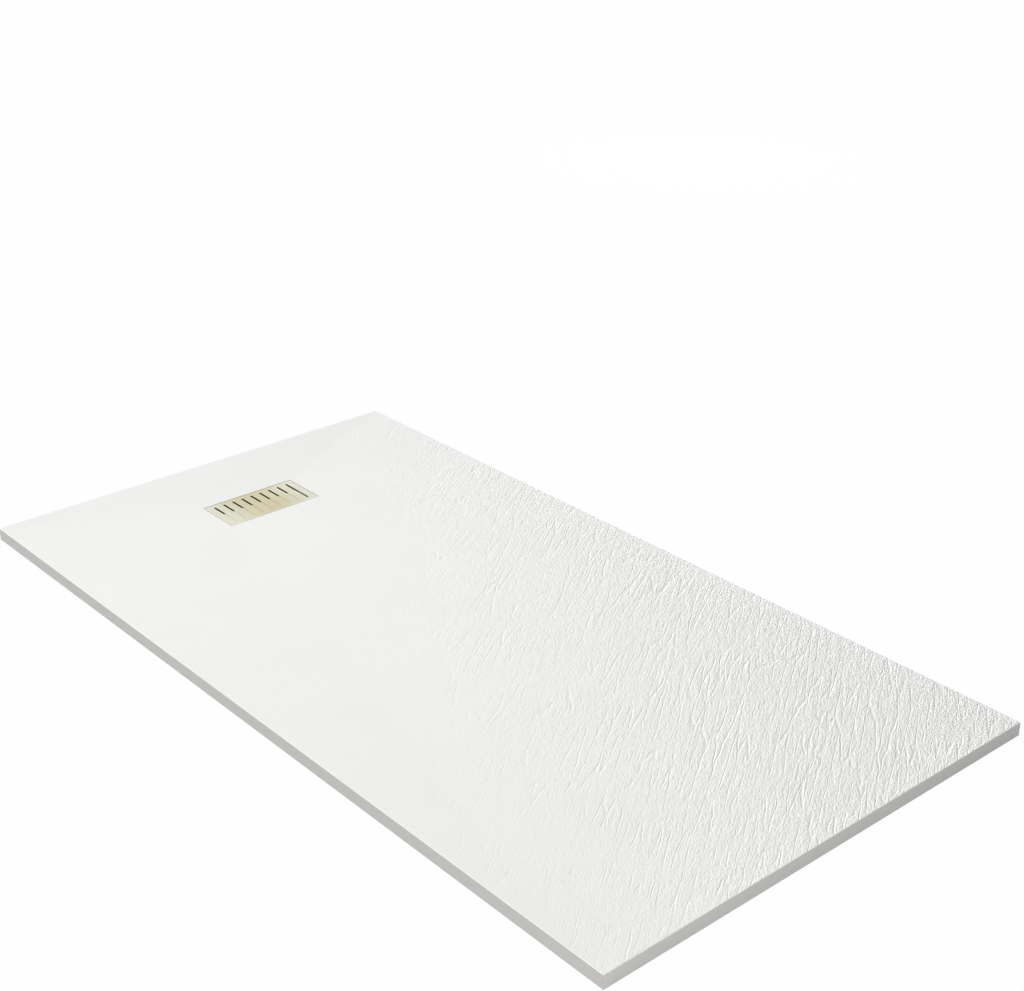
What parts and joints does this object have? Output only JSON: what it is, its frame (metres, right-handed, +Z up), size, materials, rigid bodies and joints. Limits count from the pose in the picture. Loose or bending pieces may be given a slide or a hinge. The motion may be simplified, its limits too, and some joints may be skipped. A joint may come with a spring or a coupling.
{
  "type": "shower tray",
  "caption": "Extra-flat rectangular shower tray with a slate-textured top that falls to a flush slotted grate over a lift-out water trap.",
  "frame": {"origin": "centre of the tray's flat underside, so the trap reaches below the origin", "axes": "+X along the tray from the drain end to the other end, +Y across the tray, +Z up"},
  "size_m": [1.7, 0.9, 0.093],
  "materials": {
    "cast_resin": "matte",
    "gel_coat": "satin",
    "champagne_steel": "satin",
    "stainless_steel": "satin",
    "turned_brass": "satin",
    "black_rubber": "matte",
    "grey_rubber": "matte",
    "white_plastic": "satin",
    "grey_plastic": "satin"
  },
  "bodies": {
    "root": {"tray_core": "cast_resin", "gel_coat": "gel_coat", "upper_gasket": "grey_rubber", "lower_gasket": "black_rubber", "clamp_ring": "white_plastic", "clamp_screws": "stainless_steel", "screw_inserts": "turned_brass", "trap_body": "white_plastic", "outlet_seal": "black_rubber"},
    "trap_insert": {"dip_tube": "white_plastic", "ring_seal": "black_rubber", "water_cup": "grey_plastic"},
    "strainer": {"hair_strainer": "grey_plastic", "strainer_knob": "white_plastic"},
    "grate": {"grate_plate": "champagne_steel", "grate_studs": "stainless_steel", "grate_feet": "black_rubber"},
    "washer": {"outlet_washer": "grey_plastic"},
    "nut": {"outlet_nut": "grey_plastic"}
  },
  "joints": [
    {"name": "insert_lift", "type": "slide", "parent": "root", "child": "trap_insert", "axis": [0, 0, 1], "range_m": [0, 0.1]},
    {"name": "strainer_lift", "type": "slide", "parent": "trap_insert", "child": "strainer", "axis": [0, 0, 1], "range_m": [0, 0.05]},
    {"name": "grate_lift", "type": "slide", "parent": "strainer", "child": "grate", "axis": [0, 0, 1], "range_m": [0, 0.06]},
    {"name": "washer_travel", "type": "slide", "parent": "root", "child": "washer", "axis": [-1, 0, 0], "range_m": [0, 0.00692]},
    {"name": "nut_turn", "type": "hinge", "parent": "washer", "child": "nut", "pos_m": [-0.7, 0, -0.036], "axis": [-1, 0, 0], "range_deg": [0, 1080]}
  ],
  "couplings": [
    {"joint": "washer_travel", "follows": "nut_turn", "m_per_rad": 0.00036606}
  ]
}
